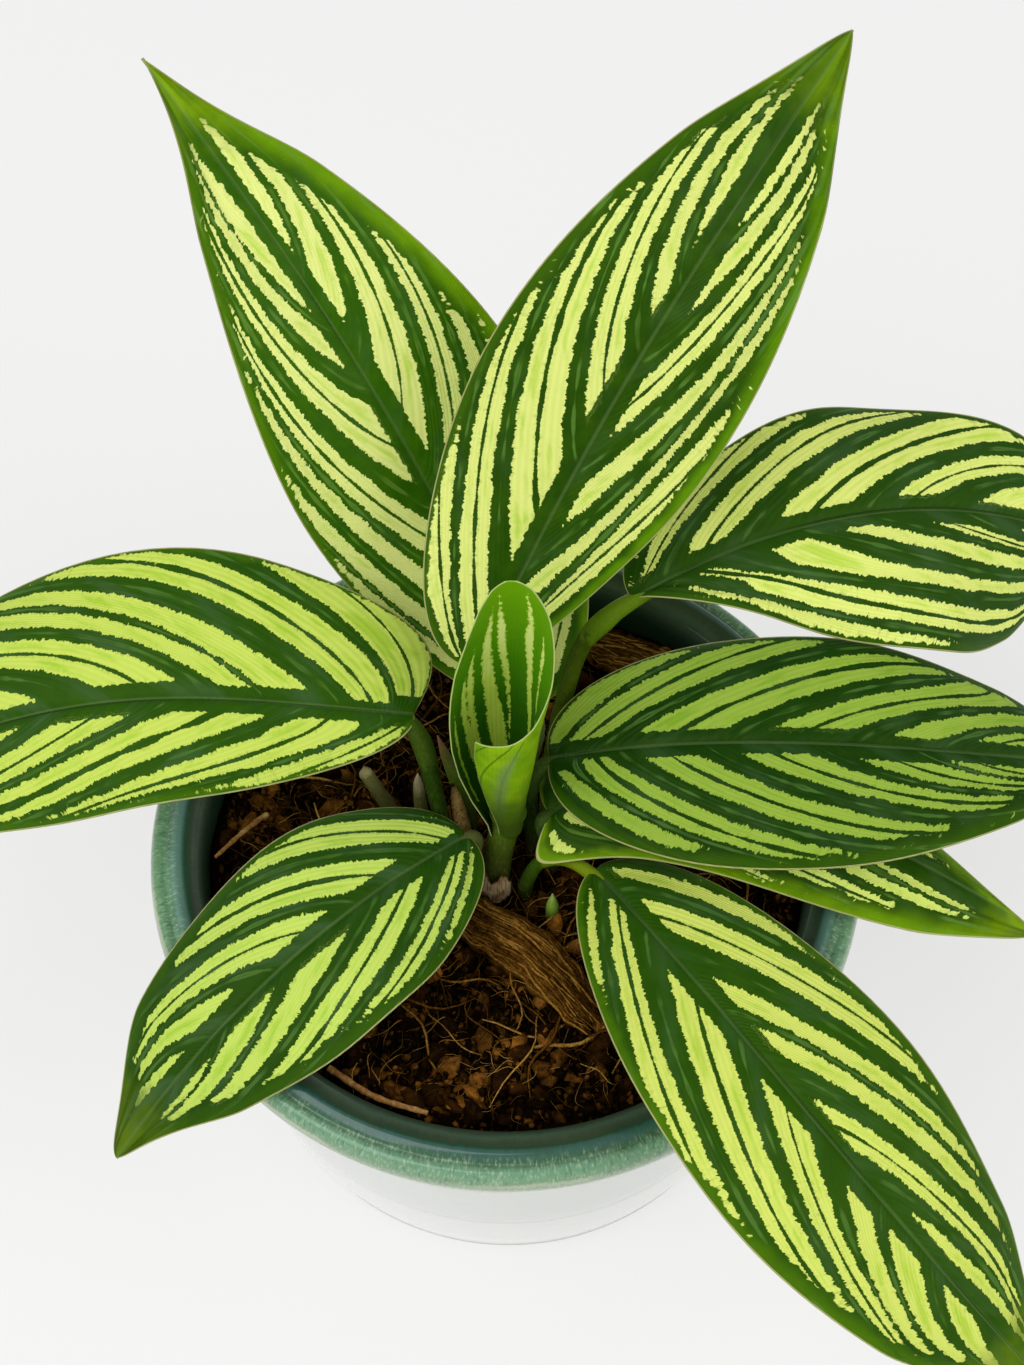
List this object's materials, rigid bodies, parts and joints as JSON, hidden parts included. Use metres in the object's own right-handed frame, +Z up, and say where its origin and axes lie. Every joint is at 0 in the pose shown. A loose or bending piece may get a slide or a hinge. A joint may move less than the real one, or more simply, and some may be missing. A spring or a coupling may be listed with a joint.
{
  "type": "potted calathea",
  "caption": "Striped-leaf calathea house plant with open leaves and a rolled new leaf, growing in coir in a round glazed pot with a rolled rim.",
  "frame": {"origin": "centre of the pot's flat base", "axes": "+Z up, -Y the front of the picture, +X to its right"},
  "size_m": [0.2736, 0.2249, 0.2206],
  "materials": {
    "glazed_pot": "glossy white glaze, celadon crackle band on the rim, dark green inside",
    "coir": "matt, loose and fibrous",
    "husk": "matt, fibrous",
    "leaf_pale_striped": "waxy, pale cream-green stripes on dark green",
    "leaf_striped": "waxy, yellow-green stripes on dark green",
    "new_leaf": "waxy, bright green",
    "young_shoot": "satin",
    "papery_sheath": "matt, dry",
    "dry_stalk": "matt, dry"
  },
  "bodies": {
    "root": {"pot": "glazed_pot", "growing_mix": "coir", "husk_piece_front": "husk", "husk_piece_back": "husk", "leaf_back_left": "leaf_pale_striped", "leaf_back_centre": "leaf_pale_striped", "leaf_upper_right": "leaf_striped", "leaf_middle_right": "leaf_striped", "leaf_lower_right": "leaf_striped", "leaf_front_right": "leaf_striped", "leaf_front_left": "leaf_striped", "leaf_left": "leaf_striped", "new_leaf_rolled": "new_leaf", "pink_tipped_shoot": "young_shoot", "pale_bud": "young_shoot", "green_bud": "young_shoot", "cut_stub": "young_shoot", "brown_sheath": "papery_sheath", "torn_sheath": "papery_sheath", "dry_stalk_long": "dry_stalk", "dry_stalk_short": "dry_stalk", "lying_stalk": "dry_stalk"}
  },
  "joints": []
}
